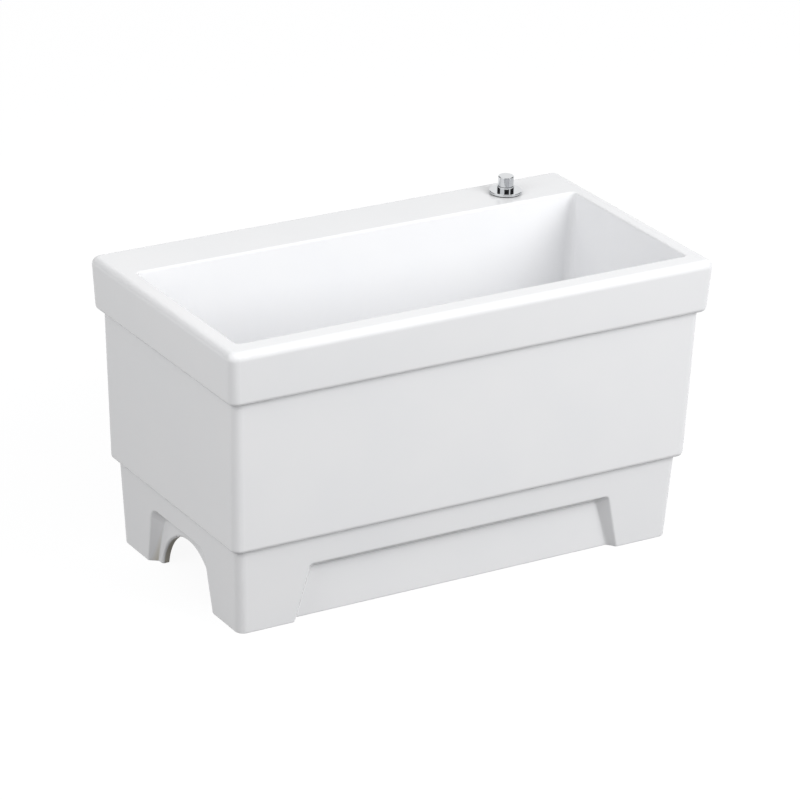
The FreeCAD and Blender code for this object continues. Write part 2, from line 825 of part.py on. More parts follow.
def spring_clip(middle):
    """Bent spring strip whose two legs grip the rod on either side of the strap."""
    depth = clip_leg_gap + 2 * clip_thickness
    reach = strap_width / 2 + clip_side_gap
    left = clip_leg_height / 2
    corner = middle + Vector(-left, -depth / 2, -clip_leg_height / 2)
    block = Part.makeBox(left + reach + clip_thickness, depth, clip_leg_height, corner)
    gap = Part.makeBox(
        left + reach + cut_past, clip_leg_gap, clip_leg_height + 2 * cut_past,
        corner + Vector(-cut_past, clip_thickness, -cut_past),
    )
    reach_through = Vector(0, depth, 0)
    hole = rod(pivot_rod_diameter / 2 + running_clearance, middle - reach_through, middle + reach_through)
    return block.cut([gap, hole])


def stopper_parts():
    """Domed cap, seal ring and finned stem, drawn raised at rest."""
    x, y = knob_x, drain_y
    flange_top = floor_height - seat_depth + flange_seal_thickness + drain_flange_thickness
    cap_low = flange_top + stopper_button_gap + stopper_drop
    cap_edge = cap_low + stopper_edge_thickness
    cap_top = cap_edge + stopper_dome_height
    half = stopper_diameter / 2
    dome_radius = (half ** 2 + stopper_dome_height ** 2) / (2 * stopper_dome_height)
    dome = Part.makeSphere(dome_radius, Vector(x, y, cap_top - dome_radius))
    cap = rod(half, *upright(x, y, cap_low, cap_top)).common(dome)
    ring_middle = seal_ring_section / 2
    ring_low = cap_low - seal_ring_section - stem_groove_margin
    seal_centre = seal_ring_diameter / 2 - ring_middle
    seal_height = cap_low - ring_middle - stem_groove_margin / 2
    seal = Part.makeTorus(seal_centre, ring_middle, Vector(x, y, seal_height))
    plate_low = ring_low - stem_plate_thickness
    tilt = math.radians(rest_tilt)
    over_rod = (stem_diameter / 2 + pivot_rod_diameter / 2 + free_gap) / math.cos(tilt)
    foot_centre = pivot_height + inner_arm * math.tan(tilt) + over_rod
    groove = seal_centre - ring_middle - stem_groove_margin
    stem = turned(
        [
            (0, foot_centre),
            (stem_diameter / 2, foot_centre),
            (stem_diameter / 2, plate_low),
            (stem_plate_diameter / 2, plate_low),
            (stem_plate_diameter / 2, ring_low),
            (groove, ring_low),
            (groove, cap_low),
            (0, cap_low),
        ],
        x,
        y,
    )
    foot = Part.makeSphere(stem_diameter / 2, Vector(x, y, foot_centre))
    fins = []
    for number in range(fin_count // 2):
        corner = Vector(x - fin_diameter / 2, y - fin_thickness / 2, plate_low - fin_height)
        fin = Part.makeBox(fin_diameter, fin_thickness, fin_height, corner)
        fin.rotate(Vector(x, y, 0), Vector(0, 0, 1), 360 / fin_count * number)
        fins.append(fin)
    stem = stem.fuse([foot] + fins).removeSplitter()
    return {"stopper_cap": cap, "stopper_seal": seal, "stopper_stem": stem}


def build():
    """Every piece by its name."""
    parts = {"ceramic_basin": ceramic_basin()}
    parts.update(deck_parts())
    parts.update(lift_parts())
    parts.update(drain_parts())
    parts.update({"waste_body": waste_body(), "ball_seats": ball_seats(), "gland_nut": gland_nut()})
    parts.update(tail_parts())
    parts.update(pivot_parts())
    parts.update(stopper_parts())
    return parts


os.makedirs("parts", exist_ok=True)
for name, shape in build().items():
    shape.exportStep("parts/" + name + ".step")
    print(name, "solids", len(shape.Solids), "valid", shape.isValid(), "volume", round(shape.Volume, 1))
print("rest tilt", round(rest_tilt, 4), "outer arm", round(outer_arm, 3))
print("stopper drop", round(stopper_drop, 4))
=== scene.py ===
"""Looks of a floor-standing ceramic mop sink with a lift-knob pop-up waste.

Every sub-assembly is a class that copies its CAD pieces, adds eased edges and screw threads, smooths their
shading and dresses them in a finish. Lengths are metres, in the CAD frame: X along the sink, -Y to its front,
Z up. Names that end in _mm are millimetres.
"""
import json
import logging
import math
from dataclasses import dataclass, field
from enum import Enum
from typing import Any

import bmesh
import bpy
from mathutils import Matrix, Vector

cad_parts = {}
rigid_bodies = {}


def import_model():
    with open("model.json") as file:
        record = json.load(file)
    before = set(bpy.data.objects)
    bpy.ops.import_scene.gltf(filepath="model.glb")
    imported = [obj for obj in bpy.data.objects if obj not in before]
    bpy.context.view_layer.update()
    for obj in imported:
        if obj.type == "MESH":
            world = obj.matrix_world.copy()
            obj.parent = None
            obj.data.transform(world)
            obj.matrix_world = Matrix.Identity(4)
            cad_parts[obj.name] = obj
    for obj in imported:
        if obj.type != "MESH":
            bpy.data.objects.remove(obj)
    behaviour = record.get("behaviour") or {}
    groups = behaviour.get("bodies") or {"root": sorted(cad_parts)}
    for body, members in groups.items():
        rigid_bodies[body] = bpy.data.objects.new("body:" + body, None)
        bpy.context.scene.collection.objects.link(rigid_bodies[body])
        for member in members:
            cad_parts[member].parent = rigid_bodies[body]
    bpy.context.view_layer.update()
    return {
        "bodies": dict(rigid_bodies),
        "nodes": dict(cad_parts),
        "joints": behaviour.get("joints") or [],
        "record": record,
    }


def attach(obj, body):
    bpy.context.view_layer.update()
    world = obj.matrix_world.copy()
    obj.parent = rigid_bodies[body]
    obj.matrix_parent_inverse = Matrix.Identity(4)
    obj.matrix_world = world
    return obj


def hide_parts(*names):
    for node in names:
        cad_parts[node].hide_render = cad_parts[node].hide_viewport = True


SAME_POINT = 1e-6
FLAT_WITHIN = math.radians(0.3)
EASING_SEGMENTS = 3
SINK_MIDDLE = Vector((0.0, 0.0, 0.2))
log = logging.getLogger("mop_sink")
Frame = dict[str, Any]


class Body(Enum):
    """Parts of the sink that move as one."""

    FIXED = "root"
    LIFTED = "lift"
    SWINGING = "pivot"
    DROPPING = "stopper"


class Axis(Enum):
    """Direction that a pattern runs across, as a row of the coordinates."""

    X = "X"
    Y = "Y"
    Z = "Z"


def linear(code: str) -> tuple[float, float, float, float]:
    """Turn an sRGB hex colour into linear light.

    Args:
        code: Colour such as "#F2F2F0".

    Returns:
        Red, green, blue and a full alpha.
    """
    levels = [int(code[start : start + 2], 16) / 255 for start in (1, 3, 5)]
    red, green, blue = [
        level / 12.92 if level <= 0.04045 else ((level + 0.055) / 1.055) ** 2.4 for level in levels
    ]
    return red, green, blue, 1.0


def per_metre(size_mm: float) -> float:
    """Texture scale that gives a pattern of this size."""
    return 1000.0 / size_mm


def add_node(
    tree: bpy.types.NodeTree, kind: str, inputs: dict[str | int, Any] | None = None, **settings: Any
) -> bpy.types.Node:
    """Add a node with its settings and links.

    Args:
        tree: Node tree that takes the node.
        kind: Blender's name for the node type.
        inputs: Value, or the socket to link, for each input by its name or number.
        **settings: Properties of the node itself.

    Returns:
        The new node.
    """
    node = tree.nodes.new(kind)
    for name, value in settings.items():
        setattr(node, name, value)
    for name, value in (inputs or {}).items():
        if isinstance(value, bpy.types.NodeSocket):
            tree.links.new(value, node.inputs[name])
        else:
            node.inputs[name].default_value = value
    return node


@dataclass(frozen=True)
class Finish:
    """A surface: its name, its main colour and how rough it is."""

    name: str
    colour: str
    roughness: float

    def material(self) -> bpy.types.Material:
        """Make the material, or give the one that is already made.

        Returns:
            The material with its node tree filled.
        """
        made = bpy.data.materials.get(self.name)
        if made:
            return made
        material = bpy.data.materials.new(self.name)
        material.use_nodes = True
        tree = material.node_tree
        place = add_node(tree, "ShaderNodeTexCoord").outputs["Object"]
        self.shade(tree, tree.nodes["Principled BSDF"], place)
        return material

    def shade(
        self, tree: bpy.types.NodeTree, shader: bpy.types.Node, place: bpy.types.NodeSocket
    ) -> None:
        """Fill the shader's sockets.

        Args:
            tree: The material's node tree.
            shader: Its principled shader.
            place: Object coordinates, in metres.
        """
        raise NotImplementedError


@dataclass(frozen=True)
class GlazedChina(Finish):
    """Slip-cast vitreous china under a clear gloss glaze.

    The glaze flows a little before it sets, so reflections waver slowly and show a fine peel.
    Where the glaze is wiped off, on the feet and in the hollow, the fired body is matt, creamy and gritty.
    """

    pooled: str = "#F2F3F5"
    biscuit: str = "#DAD5C9"
    biscuit_roughness: float = 0.62
    ior: float = 1.52
    wave_mm: float = 95.0
    wave_depth_mm: float = 0.22
    # Real peel is 1 to 2 mm across and real grit nearer 0.2 mm; both are drawn coarser so that they show.
    peel_mm: float = 4.0
    peel_depth_mm: float = 0.004
    grit_mm: float = 0.9
    grit_depth_mm: float = 0.05
    grit_darkest: float = 0.86
    grit_lightest: float = 1.08

    def shade(
        self, tree: bpy.types.NodeTree, shader: bpy.types.Node, place: bpy.types.NodeSocket
    ) -> None:
        """Fill the shader's sockets from the glaze mask and three noises.

        Args:
            tree: The material's node tree.
            shader: Its principled shader.
            place: Object coordinates, in metres.
        """
        glazed = add_node(tree, "ShaderNodeAttribute", attribute_name="glazed").outputs["Fac"]
        wave = add_node(
            tree,
            "ShaderNodeTexNoise",
            {"Vector": place, "Scale": per_metre(self.wave_mm), "Detail": 2.0},
        ).outputs["Fac"]
        peel = add_node(
            tree,
            "ShaderNodeTexNoise",
            {"Vector": place, "Scale": per_metre(self.peel_mm), "Detail": 1.0},
        ).outputs["Fac"]
        grit = add_node(
            tree,
            "ShaderNodeTexNoise",
            {"Vector": place, "Scale": per_metre(self.grit_mm), "Detail": 3.0},
        ).outputs["Fac"]
        gloss = add_node(
            tree,
            "ShaderNodeMix",
            {0: wave, 6: linear(self.colour), 7: linear(self.pooled)},
            data_type="RGBA",
        ).outputs[2]
        gritty = add_node(
            tree,
            "ShaderNodeMapRange",
            {"Value": grit, "To Min": self.grit_darkest, "To Max": self.grit_lightest},
        ).outputs["Result"]
        bare = add_node(
            tree, "ShaderNodeHueSaturation", {"Color": linear(self.biscuit), "Value": gritty}
        ).outputs["Color"]
        colour = add_node(
            tree, "ShaderNodeMix", {0: glazed, 6: bare, 7: gloss}, data_type="RGBA"
        ).outputs[2]
        roughness = add_node(
            tree,
            "ShaderNodeMapRange",
            {"Value": glazed, "To Min": self.biscuit_roughness, "To Max": self.roughness},
        ).outputs["Result"]
        unglazed = add_node(
            tree, "ShaderNodeMath", {0: 1.0, 1: glazed}, operation="SUBTRACT"
        ).outputs["Value"]
        waved = add_node(
            tree, "ShaderNodeBump", {"Height": wave, "Distance": self.wave_depth_mm / 1000}
        ).outputs["Normal"]
        peeled = add_node(
            tree,
            "ShaderNodeBump",
            {"Height": peel, "Distance": self.peel_depth_mm / 1000, "Normal": waved},
        ).outputs["Normal"]
        rough = add_node(
            tree,
            "ShaderNodeBump",
            {
                "Strength": unglazed,
                "Height": grit,
                "Distance": self.grit_depth_mm / 1000,
                "Normal": peeled,
            },
        ).outputs["Normal"]
        tree.links.new(colour, shader.inputs["Base Color"])
        tree.links.new(roughness, shader.inputs["Roughness"])
        tree.links.new(rough, shader.inputs["Normal"])
        shader.inputs["IOR"].default_value = self.ior


@dataclass(frozen=True)
class PlatedMetal(Finish):
    """Metal that was drawn, rolled or turned and then plated or polished.

    Fine lines of the tool show across one direction, and handling leaves patches of haze.
    """

    lines_across: Axis = Axis.Z
    # Real tool lines lie about 0.1 mm apart; they are drawn coarser so that they show.
    line_mm: float = 0.6
    line_depth_mm: float = 0.002
    line_squeeze: float = 0.05
    haze_mm: float = 9.0
    haze: float = 0.05
    haze_starts: float = 0.3
    haze_full: float = 0.7
    tint: str = "#FFFFFF"

    def shade(
        self, tree: bpy.types.NodeTree, shader: bpy.types.Node, place: bpy.types.NodeSocket
    ) -> None:
        """Fill the shader's sockets from tool lines and haze.

        Args:
            tree: The material's node tree.
            shader: Its principled shader.
            place: Object coordinates, in metres.
        """
        haze = add_node(
            tree,
            "ShaderNodeTexNoise",
            {"Vector": place, "Scale": per_metre(self.haze_mm), "Detail": 3.0},
        ).outputs["Fac"]
        roughness = add_node(
            tree,
            "ShaderNodeMapRange",
            {
                "Value": haze,
                "From Min": self.haze_starts,
                "From Max": self.haze_full,
                "To Min": self.roughness,
                "To Max": self.roughness + self.haze,
            },
        ).outputs["Result"]
        colour = add_node(
            tree,
            "ShaderNodeMix",
            {0: haze, 6: linear(self.colour), 7: linear(self.tint)},
            data_type="RGBA",
            blend_type="MULTIPLY",
        ).outputs[2]
        squeeze = Vector((self.line_squeeze,) * 3)
        squeeze["XYZ".index(self.lines_across.value)] = 1.0
        along = add_node(tree, "ShaderNodeMapping", {"Vector": place, "Scale": squeeze}).outputs["Vector"]
        lines = add_node(
            tree,
            "ShaderNodeTexNoise",
            {"Vector": along, "Scale": per_metre(self.line_mm), "Detail": 2.0},
        ).outputs["Fac"]
        normal = add_node(
            tree, "ShaderNodeBump", {"Height": lines, "Distance": self.line_depth_mm / 1000}
        ).outputs["Normal"]
        tree.links.new(colour, shader.inputs["Base Color"])
        tree.links.new(roughness, shader.inputs["Roughness"])
        tree.links.new(normal, shader.inputs["Normal"])
        shader.inputs["Metallic"].default_value = 1.0


@dataclass(frozen=True)
class Moulded(Finish):
    """Plastic, rubber or die-cast metal, straight from its mould.

    The skin has the mould's fine grain, a slow flow unevenness, and a thin line where the mould halves met.
    """

    metallic: float = 0.0
    ior: float = 1.49
    # A mould's real grain is nearer 0.2 mm; it is drawn coarser so that it shows.
    grain_mm: float = 0.7
    grain_depth_mm: float = 0.006
    grain_gloss: float = 0.15
    flow_mm: float = 14.0
    flow_depth_mm: float = 0.05
    shade_change: float = 0.06
    seam_x_mm: float = 238.0
    seam_width_mm: float = 0.5
    seam_height_mm: float = 0.12

    def shade(
        self, tree: bpy.types.NodeTree, shader: bpy.types.Node, place: bpy.types.NodeSocket
    ) -> None:
        """Fill the shader's sockets from grain, flow and the mould line.

        Args:
            tree: The material's node tree.
            shader: Its principled shader.
            place: Object coordinates, in metres.
        """
        grain = add_node(
            tree,
            "ShaderNodeTexNoise",
            {"Vector": place, "Scale": per_metre(self.grain_mm), "Detail": 2.0},
        ).outputs["Fac"]
        flow = add_node(
            tree,
            "ShaderNodeTexNoise",
            {"Vector": place, "Scale": per_metre(self.flow_mm), "Detail": 2.0},
        ).outputs["Fac"]
        brightness = add_node(
            tree,
            "ShaderNodeMapRange",
            {"Value": flow, "To Min": 1 - self.shade_change, "To Max": 1 + self.shade_change},
        ).outputs["Result"]
        colour = add_node(
            tree, "ShaderNodeHueSaturation", {"Color": linear(self.colour), "Value": brightness}
        ).outputs["Color"]
        roughness = add_node(
            tree,
            "ShaderNodeMapRange",
            {
                "Value": grain,
                "To Min": self.roughness * (1 - self.grain_gloss),
                "To Max": self.roughness * (1 + self.grain_gloss),
            },
        ).outputs["Result"]
        parted = add_node(tree, "ShaderNodeSeparateXYZ", {"Vector": place})
        seam = add_node(
            tree,
            "ShaderNodeMath",
            {0: parted.outputs["X"], 1: self.seam_x_mm / 1000, 2: self.seam_width_mm / 2000},
            operation="COMPARE",
        ).outputs["Value"]
        flowed = add_node(
            tree, "ShaderNodeBump", {"Height": flow, "Distance": self.flow_depth_mm / 1000}
        ).outputs["Normal"]
        grained = add_node(
            tree,
            "ShaderNodeBump",
            {"Height": grain, "Distance": self.grain_depth_mm / 1000, "Normal": flowed},
        ).outputs["Normal"]
        normal = add_node(
            tree,
            "ShaderNodeBump",
            {"Height": seam, "Distance": self.seam_height_mm / 1000, "Normal": grained},
        ).outputs["Normal"]
        tree.links.new(colour, shader.inputs["Base Color"])
        tree.links.new(roughness, shader.inputs["Roughness"])
        tree.links.new(normal, shader.inputs["Normal"])
        shader.inputs["Metallic"].default_value = self.metallic
        if not self.metallic:
            shader.inputs["IOR"].default_value = self.ior


@dataclass(frozen=True)
class PressedFibre(Finish):
    """Vulcanised fibre sheet: matt, with short fibres that lie flat and mottle it."""

    fibre: str = "#8D8478"
    fibre_mm: float = 2.5
    fibre_depth_mm: float = 0.04
    fibre_lie: tuple[float, float, float] = (1.0, 0.3, 2.0)
    fibre_tangle: float = 1.5

    def shade(
        self, tree: bpy.types.NodeTree, shader: bpy.types.Node, place: bpy.types.NodeSocket
    ) -> None:
        """Fill the shader's sockets from stretched fibres.

        Args:
            tree: The material's node tree.
            shader: Its principled shader.
            place: Object coordinates, in metres.
        """
        lying = add_node(
            tree, "ShaderNodeMapping", {"Vector": place, "Scale": self.fibre_lie}
        ).outputs["Vector"]
        fibres = add_node(
            tree,
            "ShaderNodeTexNoise",
            {
                "Vector": lying,
                "Scale": per_metre(self.fibre_mm),
                "Detail": 4.0,
                "Distortion": self.fibre_tangle,
            },
        ).outputs["Fac"]
        colour = add_node(
            tree,
            "ShaderNodeMix",
            {0: fibres, 6: linear(self.colour), 7: linear(self.fibre)},
            data_type="RGBA",
        ).outputs[2]
        normal = add_node(
            tree, "ShaderNodeBump", {"Height": fibres, "Distance": self.fibre_depth_mm / 1000}
        ).outputs["Normal"]
        tree.links.new(colour, shader.inputs["Base Color"])
        tree.links.new(normal, shader.inputs["Normal"])
        shader.inputs["Roughness"].default_value = self.roughness


# Fired gloss over white slip: bright, with soft reflections that waver.
CHINA = GlazedChina("glazed_vitreous_china", "#F7F7F8", 0.2)
# Electroplate over a polish: a clean mirror with hardly any haze.
CHROME = PlatedMetal("bright_chrome_plate", "#DADCDE", 0.04, line_depth_mm=0.0003, haze=0.03)
# Plate over drawn rod: a mirror that fine lines blur.
CHROME_ROD = PlatedMetal("chrome_plated_rod", "#C6C8CA", 0.1, lines_across=Axis.X, line_mm=0.5)
# Plate over turned brass that water runs over: a mirror dulled in patches.
DRAIN_CHROME = PlatedMetal("chrome_plated_brass", "#C9CBCD", 0.07, line_mm=0.8, haze=0.08)
# Machined and left bare: warm, with tool lines and dull patches from hands.
BRASS = PlatedMetal("machined_brass", "#DDBD72", 0.24, line_mm=0.4, tint="#F2E6C8", haze=0.12)
# Rolled strip with a thin zinc plate: satin, bluish grey, yellowed in patches.
ZINC_STEEL = PlatedMetal(
    "zinc_plated_strip", "#C3C7CC", 0.3, lines_across=Axis.X, line_mm=0.5, tint="#EDEBDD", haze=0.14
)
# Turned and plated: a warm grey shine.
NICKEL = PlatedMetal("nickel_plated_brass", "#D3CBBC", 0.18, lines_across=Axis.Y, line_mm=0.5)
# Cast under pressure in steel: dull grey metal with a cast skin and a parting line.
DIE_CAST = Moulded("die_cast_zinc", "#A4A7A9", 0.46, metallic=1.0, grain_depth_mm=0.02, shade_change=0.1)
# Pressed and cured: black and matt, greyed in places by bloom.
RUBBER = Moulded("moulded_rubber", "#1B1B1C", 0.72, ior=1.52, grain_depth_mm=0.015, shade_change=0.2)
# Injection moulded: milky white with a soft sheen.
POLYPROPYLENE = Moulded("moulded_polypropylene", "#E9E9E6", 0.34)
# Injection moulded in a grained mould: a duller white for grip.
NUT_PLASTIC = Moulded("moulded_nut_polypropylene", "#E1E1DD", 0.4, grain_depth_mm=0.012)
# Turned from bar: even, waxy white without a parting line.
ACETAL = Moulded("turned_acetal", "#EFEEE9", 0.42, flow_depth_mm=0.02, seam_height_mm=0.0)
# Pressed from paper pulp: brown grey, matt and mottled.
FIBRE = PressedFibre("vulcanised_fibre", "#655E55", 0.86)


def joined_mesh(node: bpy.types.Object) -> bmesh.types.BMesh:
    """Join a CAD node's loose triangles.

    Args:
        node: The CAD node.

    Returns:
        The joined mesh, to be freed by whoever takes it.
    """
    shape = bmesh.new()
    shape.from_mesh(node.data)
    bmesh.ops.remove_doubles(shape, verts=shape.verts, dist=SAME_POINT)
    return shape


def mark_creases(shape: bmesh.types.BMesh, crease_deg: float) -> None:
    """Shade a mesh smoothly, apart from its creases.

    Args:
        shape: The mesh.
        crease_deg: Edges that bend more than this stay sharp.
    """
    crease = math.radians(crease_deg)
    for face in shape.faces:
        face.smooth = True
    for edge in shape.edges:
        edge.smooth = edge.calc_face_angle(math.pi) < crease


def ease_edges(shape: bmesh.types.BMesh, width: float, crease_deg: float) -> None:
    """Break sharp edges, as a tool's chamfer, a mould's round or a press's burnish does.

    Args:
        shape: The mesh; its flat triangles are joined first, so that the new edge runs evenly.
        width: How far the break reaches from the edge.
        crease_deg: Edges that bend more than this are broken.
    """
    bmesh.ops.dissolve_limit(
        shape, angle_limit=FLAT_WITHIN, verts=shape.verts, edges=shape.edges, use_dissolve_boundaries=False
    )
    crease = math.radians(crease_deg)
    bmesh.ops.bevel(
        shape,
        geom=[edge for edge in shape.edges if edge.calc_face_angle(0.0) > crease],
        offset=width,
        offset_type="OFFSET",
        affect="EDGES",
        segments=EASING_SEGMENTS,
        profile=0.5,
        clamp_overlap=True,
        material=-1,
    )


@dataclass(frozen=True)
class ScrewThread:
    """A right-hand screw thread on the outside of a round piece, where the nut leaves it bare."""

    start: Vector
    along: Vector
    length: float
    radius: float
    pitch: float = 0.0018
    depth: float = 0.0006
    sunk: float = 0.0002
    foot_share: float = 0.46
    crest_share: float = 0.1
    steps_per_turn: int = 48

    def wind(self, shape: bmesh.types.BMesh) -> None:
        """Wind the ridge round the piece, as a closed strip with its foot sunk in the surface.

        Args:
            shape: The piece's mesh.
        """
        outward = self.along.orthogonal().normalized()
        foot, crest = self.radius - self.sunk, self.radius + self.depth
        section = (
            (foot, -self.foot_share),
            (crest, -self.crest_share),
            (crest, self.crest_share),
            (foot, self.foot_share),
        )
        corners = [
            shape.verts.new(self.start + outward * reach + self.along * (share * self.pitch))
            for reach, share in section
        ]
        before = set(shape.faces)
        end = shape.faces.new(corners)
        turns = self.length / self.pitch
        steps = round(turns * self.steps_per_turn)
        bmesh.ops.spin(
            shape,
            geom=[end, *end.edges, *end.verts],
            cent=self.start,
            axis=self.along,
            dvec=self.along * (self.length / steps),
            angle=math.tau * turns,
            steps=steps,
            use_merge=False,
        )
        bmesh.ops.recalc_face_normals(shape, faces=[face for face in shape.faces if face not in before])


@dataclass
class SubAssembly:
    """Pieces that are built and dressed together and ride on one body."""

    frame: Frame
    body: Body = Body.FIXED
    crease_deg: float = 30.0

    def finishes(self) -> dict[str, Finish]:
        """Give the finish of every piece, by its CAD node."""
        raise NotImplementedError

    def build(self) -> list[bpy.types.Object]:
        """Copy each CAD piece, shape it up and dress it.

        Returns:
            The finished pieces.
        """
        pieces = []
        for name, finish in self.finishes().items():
            shape = joined_mesh(self.frame["nodes"][name])
            self.shape_up(name, shape)
            mark_creases(shape, self.crease_deg)
            mesh = bpy.data.meshes.new(name + "_dressed")
            shape.to_mesh(mesh)
            shape.free()
            piece = bpy.data.objects.new(name + "_dressed", mesh)
            bpy.context.scene.collection.objects.link(piece)
            self.dress(piece, name, finish)
            pieces.append(piece)
            log.info("%s: %d faces, %s", name, len(mesh.polygons), finish.name)
        return pieces

    def shape_up(self, name: str, shape: bmesh.types.BMesh) -> None:
        """Add to a copied mesh what the CAD piece leaves out; most need nothing."""

    def dress(self, piece: bpy.types.Object, name: str, finish: Finish) -> None:
        """Give a piece its finish and its place in the frame.

        Args:
            piece: The new piece.
            name: CAD node that it stands for.
            finish: Its finish.
        """
        piece.data.materials.append(finish.material())
        normals = piece.modifiers.new("flat_faces_stay_flat", "WEIGHTED_NORMAL")
        normals.keep_sharp = True
        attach(piece, self.body.value)
        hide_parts(name)


@dataclass
class Tub(SubAssembly):
    """The casting, with a mask for the places where it isn't glazed."""

    facing_in: float = 0.05
    half_length: float = 0.345
    half_width: float = 0.187
    base_inset: float = 0.03
    hollow_top: float = 0.1235
    chase_front: float = 0.1115
    chase_top: float = 0.3715
    chase_half: float = 0.308
    wall_draft: float = math.tan(math.radians(2.5))
    rim_top: float = 0.385

    def finishes(self) -> dict[str, Finish]:
        """Give the casting's finish."""
        return {"ceramic_basin": CHINA}

    def shape_up(self, name: str, shape: bmesh.types.BMesh) -> None:
        """Mark every face as glazed or bare.

        Args:
            name: CAD node that the mesh comes from.
            shape: Its joined mesh.
        """
        layer = shape.verts.layers.float.new("glazed")
        for vertex in shape.verts:
            vertex[layer] = 1.0
        for face in shape.faces:
            if self.is_bare(face.calc_center_median(), face.normal):
                for vertex in face.verts:
                    vertex[layer] = 0.0

    def is_bare(self, place: Vector, normal: Vector) -> bool:
        """Tell whether a face is in the hollow, in the chase or under a foot.

        Args:
            place: The face's middle.
            normal: The way it faces.

        Returns:
            True where the glaze is wiped off.
        """
        sides = [
            (place.y + self.half_width, Vector((0, -1, 0))),
            (self.half_width - place.y, Vector((0, 1, 0))),
            (place.x + self.half_length, Vector((-1, 0, 0))),
            (self.half_length - place.x, Vector((1, 0, 0))),
        ]
        depth, outward = min(sides, key=lambda side: side[0])
        faces_in = normal.dot(outward) < self.facing_in
        if place.z < self.hollow_top:
            return depth > self.base_inset and faces_in
        front = self.chase_front - (self.rim_top - place.z) * self.wall_draft
        in_chase = place.y > front and abs(place.x) < self.chase_half and place.z < self.chase_top
        return in_chase and faces_in


@dataclass
class DeckFitting(SubAssembly):
    """The knob's flange on the deck, with the sleeve, washer and nut that clamp it there."""

    nut_chamfer: float = 0.0005
    washer_edge: float = 0.0003
    sleeve_radius: float = 0.01
    thread_start: Vector = field(default_factory=lambda: Vector((0.238, 0.142, 0.3436)))
    thread_length: float = 0.0166

    def finishes(self) -> dict[str, Finish]:
        """Give the finish of every piece, from the top down."""
        return {
            "deck_flange": CHROME,
            "deck_gasket": RUBBER,
            "guide_sleeve": ACETAL,
            "deck_washer": FIBRE,
            "deck_nut": BRASS,
        }

    def shape_up(self, name: str, shape: bmesh.types.BMesh) -> None:
        """Ease the washer and the nut, and thread the sleeve below the nut.

        Args:
            name: CAD node that the mesh comes from.
            shape: Its joined mesh.
        """
        if name == "guide_sleeve":
            ScrewThread(
                self.thread_start, Vector((0, 0, 1)), self.thread_length, self.sleeve_radius
            ).wind(shape)
        elif name == "deck_washer":
            ease_edges(shape, self.washer_edge, self.crease_deg)
        elif name == "deck_nut":
            ease_edges(shape, self.nut_chamfer, self.crease_deg)


@dataclass
class LiftLinkage(SubAssembly):
    """What a hand on the knob lifts: the knob, its rod, and the strap with its screw."""

    body: Body = Body.LIFTED

    def finishes(self) -> dict[str, Finish]:
        """Give the finish of every piece, from the top down."""
        return {
            "lift_knob": CHROME,
            "lift_rod": CHROME_ROD,
            "clevis_strap": ZINC_STEEL,
            "clevis_screw": NICKEL,
        }


@dataclass
class Waste(SubAssembly):
    """The drain through the floor, and the fixed waste under it."""

    nut_round: float = 0.0006
    slip_nut_round: float = 0.0005
    tube_radius: float = 0.024
    tube_pitch: float = 0.0021
    tube_thread_start: Vector = field(default_factory=lambda: Vector((0.238, 0.018, 0.0965)))
    tube_thread_length: float = 0.0084
    port_radius: float = 0.012
    port_thread_start: Vector = field(default_factory=lambda: Vector((0.238, 0.0432, 0.064)))
    port_thread_length: float = 0.0072

    def finishes(self) -> dict[str, Finish]:
        """Give the finish of every piece, from the top down."""
        return {
            "drain_flange": DRAIN_CHROME,
            "flange_seal": RUBBER,
            "under_gasket": RUBBER,
            "under_washer": FIBRE,
            "drain_locknut": DIE_CAST,
            "waste_body": POLYPROPYLENE,
            "ball_seats": ACETAL,
            "gland_nut": NUT_PLASTIC,
            "slip_nut": NUT_PLASTIC,
            "tail_washer": RUBBER,
            "tail_pipe": POLYPROPYLENE,
        }

    def shape_up(self, name: str, shape: bmesh.types.BMesh) -> None:
        """Ease the nuts, and thread the drain tube and the side port.

        Args:
            name: CAD node that the mesh comes from.
            shape: Its joined mesh.
        """
        if name == "drain_flange":
            ScrewThread(
                self.tube_thread_start,
                Vector((0, 0, 1)),
                self.tube_thread_length,
                self.tube_radius,
                self.tube_pitch,
            ).wind(shape)
        elif name == "waste_body":
            ScrewThread(
                self.port_thread_start, Vector((0, 1, 0)), self.port_thread_length, self.port_radius
            ).wind(shape)
        elif name in ("drain_locknut", "gland_nut"):
            ease_edges(shape, self.nut_round, self.crease_deg)
        elif name == "slip_nut":
            ease_edges(shape, self.slip_nut_round, self.crease_deg)


@dataclass
class Pivot(SubAssembly):
    """The rod that swings on its ball, with the clip that holds the strap on it."""

    body: Body = Body.SWINGING
    clip_edge: float = 0.0002

    def finishes(self) -> dict[str, Finish]:
        """Give the finish of every piece."""
        return {"pivot_rod": CHROME_ROD, "pivot_ball": ACETAL, "spring_clip": ZINC_STEEL}

    def shape_up(self, name: str, shape: bmesh.types.BMesh) -> None:
        """Ease the clip's sheared edges.

        Args:
            name: CAD node that the mesh comes from.
            shape: Its joined mesh.
        """
        if name == "spring_clip":
            ease_edges(shape, self.clip_edge, self.crease_deg)


@dataclass
class Stopper(SubAssembly):
    """The stopper that rises and drops in the drain."""

    body: Body = Body.DROPPING

    def finishes(self) -> dict[str, Finish]:
        """Give the finish of every piece, from the top down."""
        return {"stopper_cap": CHROME, "stopper_seal": RUBBER, "stopper_stem": ACETAL}


